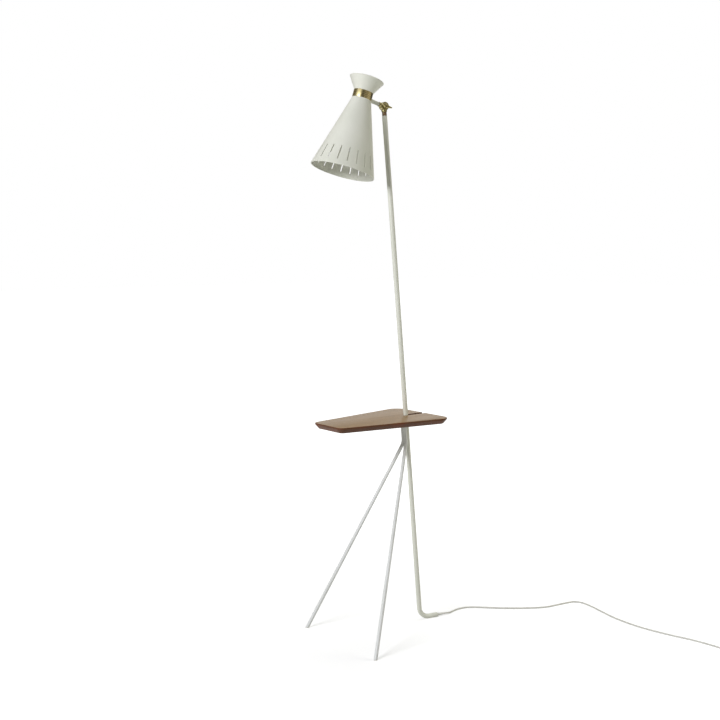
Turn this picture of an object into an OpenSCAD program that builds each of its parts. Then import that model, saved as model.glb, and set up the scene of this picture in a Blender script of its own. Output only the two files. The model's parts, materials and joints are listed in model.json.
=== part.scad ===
// Floor lamp with a small table on its leaning pole, in millimetres.
// +Z is up, the shade and the two front legs point to -Y, and the cord leaves at the +Y end.
// The origin is on the floor, at the middle of the lamp's own box without its cord.

/* [Pole] */
// Outer diameter of the pole's tube
pole_d = 12.7; // [10:0.1:16]
// Wall of the pole's tube
pole_wall = 1.2; // [1:0.1:1.5]
// Lean of the pole towards the front, in degrees from upright
lean = 5.6; // [3:0.1:8]
// Height of the knuckle's axis over the floor
knuckle_h = 1365; // [1200:5:1600]
// Distance from the origin back to the spot where the pole's axis meets the floor
pole_foot_y = 128.2; // [100:0.1:160]
// Centre line radius of the bend at the pole's foot
toe_bend_r = 30; // [26:1:50]
// Reach of the pole's toe behind the pole's axis
toe_reach = 52.5; // [46:0.5:80]
// Turn of the toe about the upright, in degrees
toe_turn = -12; // [-20:1:20]

/* [Legs] */
// Diameter of the rod that the two front legs are made of
leg_d = 9.5; // [8:0.1:12]
// Sideways distance from the middle to each foot
foot_side = 144; // [120:1:180]
// Distance from the pole's axis on the floor forward to the feet
foot_reach = 277; // [230:1:320]
// Height at which the legs spread from the pole
leg_bend_h = 498; // [440:1:510]
// Centre line radius of that bend
leg_bend_r = 40; // [25:1:60]
// Thickness of the glide under each foot
glide_t = 2; // [1:0.5:4]

/* [Table] */
// Height of the table's surface over the floor
table_h = 571.5; // [540:0.5:640]
// Thickness of the tabletop
table_t = 15; // [12:0.5:22]
// Upright band along the tabletop's upper edge
table_band = 4; // [2:0.5:6]
// How far the bevel under the band draws in
table_bevel = 9.5; // [4:0.5:12]
// Length of the tabletop behind the pole's axis
table_back = 64; // [50:1:90]
// Length of the tabletop in front of the pole's axis
table_front = 263; // [200:1:320]
// Width of the tabletop at its back edge
table_back_w = 214; // [180:1:280]
// Width of the tabletop at its front edge
table_front_w = 121; // [100:1:160]
// Radius of the tabletop's two back corners
table_back_r = 28; // [16:1:40]
// Radius of its two front corners
table_front_r = 20; // [16:1:40]
// How much wider than the pole its slot in the tabletop is
slot_play = 1.8; // [1.4:0.1:5]
// Width of the steel plate under the tabletop
plate_w = 84; // [70:1:100]
// Length of that plate
plate_l = 96; // [86:1:110]
// Thickness of that plate
plate_t = 3; // [2:0.5:5]

/* [Knuckle] */
// Diameter of the two discs of the knuckle
knuckle_d = 21; // [18:0.5:26]
// Thickness of each disc
knuckle_t = 7.2; // [5:0.1:9]
// Turn of the knuckle and head about the pole, in degrees
head_turn = -9.5; // [-30:0.5:30]
// Diameter of the wing screw's shank
screw_d = 4; // [3:0.5:5]
// Span of the wing screw's wings
wing_span = 32; // [24:1:36]
// Length of the dark ferrule on the pole's top end
ferrule_l = 9; // [6:1:14]

/* [Head] */
// Tilt of the shade's axis from upright, in degrees
head_tilt = 16.5; // [10:0.5:22]
// Distance from the knuckle's axis to the shade's axis
arm_reach = 65.5; // [60:0.5:80]
// Diameter of the arm
arm_d = 10; // [9:0.5:11]
// Outer diameter of the brass ring
ring_d = 49.8; // [44:0.1:56]
// Height of the brass ring
ring_h = 19.4; // [19:0.1:26]
// Height of the ring's lower edge relative to the arm's axis
ring_low = -6; // [-7:0.1:-6]
// Outer diameter of the shade's mouth
mouth_d = 162.8; // [140:0.5:190]
// Depth of the shade's mouth below the arm's axis
mouth_drop = 191; // [175:1:230]
// Outer diameter of the flare's rim
flare_d = 87.3; // [70:0.1:100]
// Height of the flare's rim over the arm's axis
flare_rise = 45.8; // [40:0.1:60]
// Thickness of the shade's sheet metal
shade_t = 1; // [0.8:0.1:1.4]
// Number of slots around the shade
shade_slots = 20; // [12:1:24]
// Length of each slot
shade_slot_l = 38; // [24:1:44]
// Width of each slot
shade_slot_w = 2.5; // [1.5:0.1:4]
// Distance from the lower end of the slots to the mouth
shade_slot_margin = 12.5; // [8:0.5:16]

/* [Cord] */
// Diameter of the cord
cord_d = 4.5; // [4:0.5:5]

/* [Hidden] */

$fn = 64;

// Colours
paint = [0.86, 0.86, 0.81];
brass = [0.71, 0.6, 0.34];
bronze = [0.3, 0.25, 0.18];
walnut = [0.62, 0.54, 0.46];
steel = [0.7, 0.7, 0.7];
white_plastic = [0.9, 0.9, 0.88];

// Small clearances: between pieces that touch, and round a screw or nipple in its hole
gap = 0.1;
fit = 0.05;
// Height of the band over each end of a bend
band = 0.02;
// More than any cut needs
far = 400;

// Directions and points of the pole. Its own length runs from the spot where its axis meets the floor.
pole_r = pole_d / 2;
slot_w = pole_d + slot_play;
pole_dir = [0, -sin(lean), cos(lean)];
pole_foot = [0, pole_foot_y, 0];
function along_pole(h) = h / cos(lean);
function pole_at(h) = pole_foot + pole_dir * along_pole(h);
knuckle_s = along_pole(knuckle_h);
base_drop = 14;
pole_top_s = knuckle_s - base_drop - gap;
plate_low = table_h - table_t - plate_t;
pole_joint_h = plate_low + plate_t + 4;
toe_corner = pole_at(pole_r + band);
toe_out = [-sin(toe_turn), cos(toe_turn), 0];
toe_end = toe_corner + toe_out * toe_reach;

// The legs' rods lie side by side against the front of the pole
rod_x = leg_d / 2 + gap;
rod_off = sqrt(pow(pole_r + leg_d / 2 + gap, 2) - pow(rod_x, 2));

// Threaded tube that joins the pole, the knuckle and the lamp holder
nipple_d = pole_d - 2 * pole_wall - 2 * fit;
nipple_bore = 6;
joiner_l = 40;
swivel_l = 22;
swivel_up = 3;

// Table screws
table_screw_d = 3.5;
table_screw_head_d = 7;
table_screw_head_t = 2;
table_screw_l = 11;
table_screw_x = plate_w / 2 - 10;
table_screw_ys = [-plate_l / 2 + 10, plate_l / 2 - 10];
plate_forward = 20;
plate_corner_r = 8;
table_axis = pole_at(table_h - table_t / 2);

// Knuckle
screw_hole_d = screw_d + 2 * fit;
base_d = 14;
base_h = 6;
stub_d = 12;
stub_from = 8;
stub_to = 16;
washer_d = 11;
washer_t = 1;
hub_d = 9;
hub_t = 5;
wing_t = 2.6;
wing_h = 8;
wing_tip_d = 7;
wing_turn = -17;

// Head
ring_t = 1.2;
ring_r = ring_d / 2;
sleeve_r = ring_r - ring_t - fit;
ring_high = ring_low + ring_h;
slot_phase = 0.7;
bridge_low = ring_low + 13;
bridge_t = 1.6;
bead_d = 2.4;
arm_wall = 1;
arm_nipple_d = arm_d - 2 * arm_wall - 2 * fit;
arm_nipple_bore = 4.5;
arm_nut_w = 11;
arm_nut_t = 3;
arm_nut_y = sqrt(pow(sleeve_r - shade_t, 2) - pow(arm_nut_w / 2 / cos(30), 2)) - gap;
holder_nut_w = 14;
holder_nut_t = 3.5;
holder_top = ring_low - 4;
holder_cap_h = 12;
holder_cap_d = 30;
holder_h = 34;
holder_d = 34;
bulb_thread_d = 26;
bulb_cap_h = 25;
bulb_d = 60;
bulb_l = 84;
holder_low = holder_top - holder_cap_h - holder_h;
mouth_r = mouth_d / 2;
cone_top_r = ring_r - 0.3;
cone_h = mouth_drop + ring_low;
cone_angle = atan((mouth_r - cone_top_r) / cone_h);
flare_r = flare_d / 2;

// Cord: the route's points are on its centre line, from the spot where the pole's axis meets the floor
cord_r = cord_d / 2;
grommet_collar = 2;
grommet_nose = 18;
grommet_nose_d = 7.5;
cord_sides = 8;
cord_steps = 76;
cord_points = [
    [14.7, 68.5, 6.37], [16.6, 79, 6], [17, 89, 4.6], [14.5, 100, 2.9], [11, 111, 2.3], [8.5, 123, 2.3],
    [7.5, 136, 2.3], [9, 151, 2.3], [14, 166, 2.3], [29, 186, 2.3], [62, 219, 2.3], [94, 254, 2.3],
    [124, 294, 2.3], [149, 336, 2.3], [158, 376, 2.3], [164, 414, 2.3], [172, 438, 2.3], [190, 448, 2.3],
    [225, 445, 2.3], [265, 435, 2.3], [330, 420, 2.3], [410, 416, 2.3], [490, 428, 2.3], [560, 445, 2.3],
    [625, 453, 2.3], [700.4, 453, 2.3]
];

// Coil: turns in two layers, with a half turn in which the spiral dips inwards, turns back and climbs
coil_turns = 3;
coil_outer_r = 34;
coil_centre = [705, 453 + coil_outer_r];
coil_pitch = cord_d + 0.45;
coil_rise = cord_d + 0.45;
coil_dip = 0.2;
coil_steps = 24;
coil_sides = 6;
coil_lead_in = cord_d;
coil_lead_out = 12.4;

// Plug
plug_l = 36;
plug_w = 35;
plug_h = 2 * (cord_r + coil_rise);
plug_neck_l = 20;
plug_neck_d = 9;
plug_place = [coil_centre[0] - coil_lead_out - gap - plug_neck_l, coil_centre[1] + coil_outer_r, plug_h / 2];
pin_d = 4;
pin_l = 19;
pin_shank_d = 3;
pin_shank_l = 7;
pin_spacing = 19;

// ---------- vectors and frames ----------

function unit(v) = v / norm(v);
function columns(a, b, c, p) = [
    [a[0], b[0], c[0], p[0]],
    [a[1], b[1], c[1], p[1]],
    [a[2], b[2], c[2], p[2]],
    [0, 0, 0, 1]
];

// Places its children with their Z along the direction v, from the point p
module towards(p, v) {
    u = unit(v);
    translate(p) rotate([0, acos(u[2]), atan2(u[1], u[0])]) children();
}

// The pole's own frame: Z runs up its axis
module on_pole() {
    translate(pole_foot) rotate([lean, 0, 0]) children();
}

// The knuckle's frame: Z up the pole, X along the knuckle's axis
module at_knuckle() {
    on_pole() translate([0, 0, knuckle_s]) rotate([0, 0, head_turn]) children();
}

// The arm's frame: -Y along the arm, from the knuckle's axis
module at_arm() {
    at_knuckle() rotate([-head_tilt - lean, 0, 0]) children();
}

// The shade's frame: Z up the shade's axis, level with the arm's axis
module at_head() {
    at_arm() translate([0, -arm_reach, 0]) children();
}

// ---------- general shapes ----------

module round_bar(length, d, bore) {
    difference() {
        cylinder(h = length, d = d);
        if (bore > 0) translate([0, 0, -1]) cylinder(h = length + 2, d = bore);
    }
}

// A round bar from a to c with one bend at the corner b. Its ends run on by the length beyond, and a
// hair-wide band over each end of the bend keeps it one solid.
module bent_bar(a, b, c, bend_r, d, beyond = 0) {
    to_a = unit(a - b);
    to_c = unit(c - b);
    turn = 180 - acos(to_a * to_c);
    tangent = bend_r * tan(turn / 2);
    centre = b + unit(to_a + to_c) * bend_r / cos(turn / 2);
    out = unit(b + to_a * tangent - centre);
    multmatrix(columns(out, -to_a, cross(out, -to_a), centre)) {
        translate([bend_r, 0, 0]) {
            rotate([90, 0, 0]) cylinder(h = norm(a - b) - tangent + beyond, d = d);
            sphere(d = d + 2 * band);
        }
        rotate_extrude(angle = turn) translate([bend_r, 0]) circle(d = d);
        rotate([0, 0, turn]) translate([bend_r, 0, 0]) {
            rotate([-90, 0, 0]) cylinder(h = norm(c - b) - tangent + beyond, d = d);
            sphere(d = d + 2 * band);
        }
    }
}

module hexagon(width, thickness) {
    cylinder(h = thickness, d = width / cos(30), $fn = 6);
}

// A slab of the whole space between two heights
module between_heights(low, high) {
    translate([-far, -far, low]) cube([2 * far, 2 * far, high - low]);
}

// ---------- pole ----------

module lower_pole() {
    top = pole_at(pole_joint_h);
    color(paint) difference() {
        bent_bar(top, toe_corner, toe_end, toe_bend_r, pole_d);
        bent_bar(top, toe_corner, toe_end, toe_bend_r, pole_d - 2 * pole_wall, 1);
    }
}

module upper_pole() {
    low = along_pole(pole_joint_h) + gap;
    color(paint) on_pole() translate([0, 0, low])
        round_bar(pole_top_s - ferrule_l - gap - low, pole_d, pole_d - 2 * pole_wall);
}

module pole_joiner() {
    color(steel) on_pole() translate([0, 0, along_pole(pole_joint_h) - joiner_l / 2])
        round_bar(joiner_l, nipple_d, nipple_bore);
}

module cord_grommet() {
    plug_in = 10;
    color(white_plastic) towards(toe_end, toe_out) difference() {
        union() {
            translate([0, 0, -plug_in]) cylinder(h = plug_in + gap + 1, d = nipple_d);
            translate([0, 0, gap]) cylinder(h = grommet_collar, d = pole_d);
            translate([0, 0, gap + grommet_collar])
                cylinder(h = grommet_nose, d1 = grommet_nose_d, d2 = cord_d + 1.2);
        }
        translate([0, 0, -far / 2]) cylinder(h = far, d = cord_d + 0.4);
    }
}

// ---------- legs ----------

function leg_corner(side) = pole_at(leg_bend_h) + [side * rod_x, -rod_off * cos(lean), -rod_off * sin(lean)];
function leg_top(side) = leg_corner(side) + pole_dir * along_pole(plate_low - leg_bend_h);
function leg_end(side) = [side * foot_side, pole_foot_y - foot_reach, 0];

module whole_leg(side) {
    bent_bar(leg_top(side), leg_corner(side), leg_end(side), leg_bend_r, leg_d, leg_d);
}

module leg(side) {
    color(paint) intersection() {
        whole_leg(side);
        between_heights(glide_t, plate_low - gap);
    }
}

module glide(side) {
    color(white_plastic) intersection() {
        towards(leg_end(side) - unit(leg_end(side) - leg_corner(side)) * 2 * leg_d,
                leg_end(side) - leg_corner(side))
            cylinder(h = 4 * leg_d, d = leg_d);
        between_heights(0, glide_t - gap);
    }
}

// ---------- table ----------

module pole_clearance(length) {
    on_pole() translate([0, 0, along_pole(plate_low) - length / 2])
        cylinder(h = length + along_pole(table_t), d = slot_w);
}

module screw_places() {
    for (x = [-table_screw_x, table_screw_x], y = table_screw_ys)
        translate([x, table_axis[1] - plate_forward + y, plate_low]) children();
}

module one_screw_place(number) {
    x = number % 2 == 1 ? -table_screw_x : table_screw_x;
    y = table_screw_ys[number > 2 ? 1 : 0];
    translate([x, table_axis[1] - plate_forward + y, plate_low]) children();
}

module table_plate() {
    color(paint) difference() {
        translate([0, table_axis[1] - plate_forward, plate_low]) linear_extrude(plate_t - gap) {
            square([plate_w - 2 * plate_corner_r, plate_l], center = true);
            square([plate_w, plate_l - 2 * plate_corner_r], center = true);
            for (x = [-1, 1], y = [-1, 1])
                translate([x * (plate_w / 2 - plate_corner_r), y * (plate_l / 2 - plate_corner_r)])
                    circle(r = plate_corner_r);
        }
        pole_clearance(60);
        screw_places() translate([0, 0, -1]) cylinder(h = plate_t + 2, d = table_screw_d + 1);
    }
}

module corner_post(x, y, r) {
    translate([x, y, 0]) {
        cylinder(h = table_t - table_band, r1 = r - table_bevel, r2 = r);
        translate([0, 0, table_t - table_band]) cylinder(h = table_band, r = r);
    }
}

module tabletop() {
    back_x = table_back_w / 2 - table_back_r;
    front_x = table_front_w / 2 - table_front_r;
    color(walnut) difference() {
        translate([0, table_axis[1], table_h - table_t]) hull() {
            for (side = [-1, 1]) {
                corner_post(side * back_x, table_back - table_back_r, table_back_r);
                corner_post(side * front_x, table_front_r - table_front, table_front_r);
            }
        }
        pole_clearance(60);
        translate([-slot_w / 2, table_axis[1], table_h - table_t - 1]) cube([slot_w, far, table_t + 2]);
        screw_places() cylinder(h = table_screw_l + 1, d = table_screw_d + 2 * fit);
    }
}

module table_screw(number) {
    color(steel) one_screw_place(number) {
        translate([0, 0, -table_screw_head_t - gap])
            cylinder(h = table_screw_head_t, d1 = table_screw_head_d - 2, d2 = table_screw_head_d);
        translate([0, 0, -gap]) cylinder(h = table_screw_l, d = table_screw_d);
    }
}

// ---------- knuckle ----------

module pole_ferrule() {
    color(bronze) on_pole() translate([0, 0, pole_top_s - ferrule_l])
        round_bar(ferrule_l, pole_d - 1, nipple_d + 2 * fit);
}

module swivel_nipple() {
    color(brass) on_pole() translate([0, 0, pole_top_s - swivel_l + swivel_up])
        round_bar(swivel_l, nipple_d, nipple_bore);
}

// One disc of the knuckle, on the side of the knuckle's middle plane that side names
module knuckle_disc(side) {
    translate([side > 0 ? fit : -knuckle_t - fit, 0, 0]) rotate([0, 90, 0])
        cylinder(h = knuckle_t, d = knuckle_d);
}

module screw_hole() {
    translate([-far, 0, 0]) rotate([0, 90, 0]) cylinder(h = 2 * far, d = screw_hole_d);
}

module lower_knuckle() {
    web_w = base_d * 0.7;
    color(brass) at_knuckle() difference() {
        union() {
            knuckle_disc(-1);
            translate([-knuckle_t + 1, -web_w / 2, base_h - base_drop - 1])
                cube([knuckle_t - 1 - fit, web_w, base_drop - base_h]);
            translate([0, 0, -base_drop]) cylinder(h = base_h, d = base_d);
        }
        translate([0, 0, -base_drop - 1]) cylinder(h = swivel_up + 1, d = nipple_d + 2 * fit);
        screw_hole();
        clear_of_upper();
    }
}

// Room for the upper disc to turn over the base
module clear_of_upper() {
    translate([-fit, 0, 0]) rotate([0, 90, 0]) cylinder(h = knuckle_t + 4, d = knuckle_d + 1);
}

module upper_knuckle() {
    color(brass) at_arm() difference() {
        union() {
            knuckle_disc(1);
            translate([fit, -stub_from - 2, -stub_d * 0.4]) cube([knuckle_t, 6, stub_d * 0.8]);
            translate([0, -stub_from, 0]) rotate([90, 0, 0]) cylinder(h = stub_to - stub_from, d = stub_d);
        }
        translate([-knuckle_t - 4, 0, 0]) rotate([0, 90, 0]) cylinder(h = knuckle_t + 4 + fit, d = knuckle_d + 1);
        translate([0, -stub_to + 5, 0]) rotate([90, 0, 0]) cylinder(h = 6, d = arm_nipple_d + 2 * fit);
        screw_hole();
    }
}

module wing_washer() {
    color(brass) at_knuckle() translate([knuckle_t + 2 * fit, 0, 0]) rotate([0, 90, 0])
        round_bar(washer_t, washer_d, screw_hole_d);
}

module wing_screw() {
    hub_x = knuckle_t + washer_t + 3 * fit;
    shank_l = 2 * knuckle_t + washer_t + hub_t;
    color(brass) at_knuckle() rotate([wing_turn - lean, 0, 0]) {
        translate([hub_x + hub_t - shank_l - 2 * fit, 0, 0]) rotate([0, 90, 0]) cylinder(h = shank_l, d = screw_d);
        translate([hub_x, 0, 0]) rotate([0, 90, 0]) cylinder(h = hub_t, d = hub_d);
        translate([hub_x + 1, 0, wing_t / 2]) rotate([0, 90, 0]) wings();
    }
}

// Two wings on one flat bar: their length runs along Y and their height along Z here
module wings() {
    tip = wing_span / 2 - wing_tip_d / 2;
    rotate([0, -90, 0]) translate([0, 0, -wing_t]) linear_extrude(wing_t) {
        polygon([[0, -hub_d / 2], [0, hub_d / 2], [wing_tip_d * 0.4, tip], [wing_h, tip], [wing_h * 0.45, 0],
                 [wing_h, -tip], [wing_tip_d * 0.4, -tip]]);
        for (side = [-1, 1]) translate([wing_h - wing_tip_d / 2 + 1, side * tip]) circle(d = wing_tip_d);
    }
}

// ---------- arm and head ----------

module arm() {
    color(paint) difference() {
        at_arm() translate([0, -stub_to - gap, 0]) rotate([90, 0, 0])
            round_bar(arm_reach - stub_to - ring_r + 4, arm_d, arm_d - 2 * arm_wall);
        at_head() translate([0, 0, -far / 2]) cylinder(h = far, r = ring_r + gap, $fn = 128);
    }
}

module arm_nipple() {
    inside = arm_reach - arm_nut_y + arm_nut_t + 1;
    color(steel) at_arm() translate([0, -stub_to + 4, 0]) rotate([90, 0, 0])
        round_bar(inside - stub_to + 4, arm_nipple_d, arm_nipple_bore);
}

module arm_nut() {
    color(steel) at_head() translate([0, arm_nut_y, 0]) rotate([90, 0, 0]) difference() {
        hexagon(arm_nut_w, arm_nut_t);
        translate([0, 0, -1]) cylinder(h = arm_nut_t + 2, d = arm_nipple_d + 2 * fit);
    }
}

module arm_hole() {
    rotate([-90, 0, 0]) cylinder(h = far, d = arm_nipple_d + 2 * fit);
}

module ring() {
    color(brass) at_head() difference() {
        translate([0, 0, ring_low]) round_bar(ring_h, ring_d, ring_d - 2 * ring_t);
        arm_hole();
    }
}

// The lower shade: a sleeve in the ring, the long cone and a rolled rim
module shade_cone() {
    pitch = 360 / shade_slots;
    slot_mid = shade_slot_margin + shade_slot_l / 2;
    color(paint) at_head() difference() {
        union() {
            rotate_extrude($fn = 128)
                polygon([[sleeve_r - shade_t, bridge_low - gap], [sleeve_r, bridge_low - gap],
                         [sleeve_r, ring_low - gap], [cone_top_r, ring_low - gap],
                         [mouth_r, -mouth_drop], [mouth_r - shade_t, -mouth_drop],
                         [sleeve_r - shade_t, ring_low - gap - 3]]);
            rotate_extrude($fn = 128) translate([mouth_r - bead_d / 2, -mouth_drop]) circle(d = bead_d, $fn = 24);
        }
        arm_hole();
        for (k = [0 : shade_slots - 1])
            rotate([0, 0, (k + slot_phase) * pitch]) translate([mouth_r, 0, -mouth_drop]) rotate([0, -cone_angle, 0])
                translate([-4, 0, slot_mid]) rotate([0, 90, 0]) slot_cutter();
    }
}

module slot_cutter() {
    straight = shade_slot_l - shade_slot_w;
    translate([-straight / 2, -shade_slot_w / 2, 0]) cube([straight, shade_slot_w, 8]);
    for (end = [-1, 1]) translate([end * straight / 2, 0, 0]) cylinder(h = 8, d = shade_slot_w, $fn = 24);
}

// The upper shade: a sleeve in the ring and an open flare with a rolled rim
module shade_flare() {
    sleeve_low = bridge_low + bridge_t;
    rim_z = flare_rise - bead_d / 2;
    color(paint) at_head() {
        rotate_extrude($fn = 128)
            polygon([[sleeve_r - shade_t, sleeve_low], [sleeve_r, sleeve_low],
                     [sleeve_r, ring_high + gap], [sleeve_r + 0.4, ring_high + gap],
                     [flare_r, rim_z], [flare_r - shade_t, rim_z], [sleeve_r - shade_t, ring_high + 3]]);
        rotate_extrude($fn = 128) translate([flare_r - bead_d / 2, rim_z]) circle(d = bead_d, $fn = 24);
    }
}

// The disc that carries the lamp holder, with vents
module bridge() {
    vents = 6;
    color(paint) at_head() difference() {
        translate([0, 0, bridge_low - gap + fit]) cylinder(h = bridge_t, r = sleeve_r);
        translate([0, 0, bridge_low - 2]) cylinder(h = bridge_t + 4, d = nipple_d + 2 * fit);
        for (k = [0 : vents - 1])
            rotate([0, 0, (k + 0.5) * 360 / vents]) translate([15, 0, bridge_low - 2])
                cylinder(h = bridge_t + 4, d = 7);
    }
}

module holder_nipple() {
    high = bridge_low + bridge_t + holder_nut_t + 2;
    low = holder_top - 8;
    color(steel) at_head() translate([0, 0, low]) round_bar(high - low, nipple_d, nipple_bore);
}

module holder_nut() {
    color(steel) at_head() translate([0, 0, bridge_low + bridge_t + fit]) difference() {
        hexagon(holder_nut_w, holder_nut_t);
        translate([0, 0, -1]) cylinder(h = holder_nut_t + 2, d = nipple_d + 2 * fit);
    }
}

module holder_cap() {
    color(white_plastic) at_head() difference() {
        union() {
            translate([0, 0, holder_top - holder_cap_h])
                cylinder(h = holder_cap_h - 3, d = holder_cap_d);
            translate([0, 0, holder_top - 3]) cylinder(h = 3, d1 = holder_cap_d, d2 = holder_cap_d - 6);
            translate([0, 0, holder_top - 1])
                cylinder(h = bridge_low - holder_top + 1 - gap, d = 16);
        }
        translate([0, 0, holder_top - holder_cap_h - 1])
            cylinder(h = far, d = nipple_d + 2 * fit);
    }
}

module lamp_holder() {
    color(white_plastic) at_head() difference() {
        union() {
            translate([0, 0, holder_low]) cylinder(h = holder_h - gap, d = holder_d - 2);
            translate([0, 0, holder_low + 2]) cylinder(h = 4, d = holder_d);
            translate([0, 0, holder_low + holder_h - 8]) cylinder(h = 6, d = holder_d);
        }
        translate([0, 0, holder_low - 1]) cylinder(h = bulb_cap_h + 3, d = bulb_thread_d + 1);
    }
}

module bulb_cap() {
    tip_h = 3;
    color(brass) at_head() {
        translate([0, 0, holder_low]) cylinder(h = bulb_cap_h - tip_h, d = bulb_thread_d);
        translate([0, 0, holder_low + bulb_cap_h - tip_h]) cylinder(h = tip_h, d1 = bulb_thread_d - 4, d2 = 10);
    }
}

module bulb_glass() {
    neck_r = bulb_thread_d / 2 + 2;
    bulb_r = bulb_d / 2;
    centre_z = bulb_r - bulb_l;
    neck_z = -8;
    join = asin(neck_r / bulb_r) + 28;
    color([0.95, 0.95, 0.92]) at_head() translate([0, 0, holder_low - gap]) rotate_extrude($fn = 64)
        polygon(concat(
            [[0, 0], [neck_r - 2, 0], [neck_r, -2], [neck_r, neck_z]],
            [for (a = [join : 5 : 180]) [bulb_r * sin(a), centre_z + bulb_r * cos(a)]]));
}

// ---------- cord ----------

// A point on the smooth curve through the route's points: u runs from 0 to the last point's number
function route(points, u) =
    let (n = len(points) - 1,
         i = min(floor(u), n - 1),
         t = u - i,
         p0 = points[max(i - 1, 0)], p1 = points[i], p2 = points[i + 1], p3 = points[min(i + 2, n)])
    0.5 * (2 * p1 + (p2 - p0) * t + (2 * p0 - 5 * p1 + 4 * p2 - p3) * t * t
           + (3 * p1 - p0 - 3 * p2 + p3) * t * t * t);

// A closed tube of so many sides along a list of centre points, its sides kept level
module sweep(path, r, sides, turn) {
    last = len(path) - 1;
    rings = [for (i = [0 : last])
        let (along = unit(path[min(i + 1, last)] - path[max(i - 1, 0)]),
             across = unit(cross(along, [0, 0, 1])),
             up = cross(across, along))
        for (k = [0 : sides - 1])
            path[i] + r * (across * cos(turn + k * 360 / sides) + up * sin(turn + k * 360 / sides))];
    skin = [for (i = [0 : last - 1], k = [0 : sides - 1])
        let (a = i * sides + k, b = i * sides + (k + 1) % sides)
        each [[a, b, b + sides], [a, b + sides, a + sides]]];
    first_cap = [for (k = [1 : sides - 2]) [0, k + 1, k]];
    last_cap = [for (k = [1 : sides - 2]) [last * sides, last * sides + k, last * sides + k + 1]];
    polyhedron(points = rings, faces = concat(skin, first_cap, last_cap));
}

module cord() {
    n = len(cord_points) - 1;
    color(white_plastic) translate(pole_foot) sweep(
        [for (i = [0 : cord_steps]) route(cord_points, i * n / cord_steps)],
        cord_r, cord_sides, 22.5);
}

function coil_radius(turn) =
    coil_outer_r - coil_pitch * (turn <= coil_turns ? turn
        : turn <= coil_turns + 0.5 ? coil_turns + coil_dip * sin((turn - coil_turns) * 360)
        : 2 * coil_turns + 0.5 - turn);
function coil_height(turn) =
    cord_r + coil_rise * (turn <= coil_turns ? 0
        : turn >= coil_turns + 0.5 ? 1
        : (1 - cos((turn - coil_turns) * 360)) / 2);
function coil_point(turn) =
    [coil_centre[0], coil_centre[1], 0]
    + [coil_radius(turn) * sin(turn * 360), -coil_radius(turn) * cos(turn * 360), coil_height(turn)];

coil_path = [for (i = [0 : (2 * coil_turns + 0.5) * coil_steps]) coil_point(i / coil_steps)];

// Least gap between two stretches of the coil that are more than half a turn apart
coil_gap = min([for (i = [0 : len(coil_path) - 1], j = [i + coil_steps / 2 : 1 : len(coil_path) - 1])
    norm(coil_path[i] - coil_path[j])]) - cord_d;
echo(coil_gap = coil_gap);

module cord_coil() {
    first = coil_path[0] - [coil_lead_in, 0, 0];
    end = coil_path[len(coil_path) - 1] - [coil_lead_out, 0, 0];
    color(white_plastic) translate(pole_foot) sweep(concat([first], coil_path, [end]), cord_r, coil_sides, 0);
}

module at_plug() {
    translate([0, pole_foot_y, 0] + plug_place) rotate([0, 0, 180]) children();
}

module plug_body() {
    color(white_plastic) at_plug() difference() {
        union() {
            translate([0, -plug_w / 2, -plug_h / 2]) cube([plug_l, plug_w, plug_h]);
            translate([-plug_neck_l, 0, 0]) rotate([0, 90, 0])
                cylinder(h = plug_neck_l + 1, d1 = cord_d + 2, d2 = plug_neck_d);
        }
        for (side = [-1, 1]) translate([plug_l - pin_shank_l - gap, side * pin_spacing / 2, 0]) rotate([0, 90, 0])
            cylinder(h = pin_shank_l + 1, d = pin_shank_d + 2 * fit);
    }
}

module plug_pin(side) {
    color(steel) at_plug() translate([plug_l + gap, side * pin_spacing / 2, 0]) rotate([0, 90, 0]) {
        translate([0, 0, -pin_shank_l]) cylinder(h = pin_shank_l + 1, d = pin_shank_d);
        cylinder(h = pin_l, d = pin_d);
    }
}

lower_pole();
upper_pole();
pole_joiner();
leg(-1);  // leg_left
leg(1);  // leg_right
glide(-1);  // glide_left
glide(1);  // glide_right
table_plate();
tabletop();
table_screw(1);  // table_screw_1
table_screw(2);  // table_screw_2
table_screw(3);  // table_screw_3
table_screw(4);  // table_screw_4
cord_grommet();
pole_ferrule();
swivel_nipple();
lower_knuckle();
upper_knuckle();
wing_screw();
wing_washer();
arm();
arm_nipple();
arm_nut();
ring();
shade_cone();
shade_flare();
bridge();
holder_nipple();
holder_nut();
holder_cap();
lamp_holder();
bulb_cap();
bulb_glass();
cord();
cord_coil();
plug_body();
plug_pin(-1);  // plug_pin_1
plug_pin(1);  // plug_pin_2
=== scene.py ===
# Floor lamp with a small table: the looks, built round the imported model. Metres, +Z up.
# Pieces are drawn in millimetres in their own frames, the head's, the knuckle's or the floor's,
# and their place is then put into the mesh.
import json
from math import atan2, asin, cos, hypot, pi, radians, sin, tan, tau

import bmesh
import bpy
from mathutils import Matrix, Vector


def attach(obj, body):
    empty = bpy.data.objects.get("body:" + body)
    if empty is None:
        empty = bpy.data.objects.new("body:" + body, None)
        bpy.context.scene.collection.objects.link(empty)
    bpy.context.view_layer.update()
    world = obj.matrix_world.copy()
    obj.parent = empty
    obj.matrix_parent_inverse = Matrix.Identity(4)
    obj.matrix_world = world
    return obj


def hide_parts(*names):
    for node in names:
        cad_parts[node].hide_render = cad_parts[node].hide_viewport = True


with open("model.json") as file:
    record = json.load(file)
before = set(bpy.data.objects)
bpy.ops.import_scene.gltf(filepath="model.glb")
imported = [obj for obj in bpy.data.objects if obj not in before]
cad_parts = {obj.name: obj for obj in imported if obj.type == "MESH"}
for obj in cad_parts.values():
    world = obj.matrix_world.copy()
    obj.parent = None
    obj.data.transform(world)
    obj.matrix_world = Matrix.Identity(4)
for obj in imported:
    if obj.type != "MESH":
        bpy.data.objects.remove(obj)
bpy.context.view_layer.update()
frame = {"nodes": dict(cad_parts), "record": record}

nodes = frame["nodes"]
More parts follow.
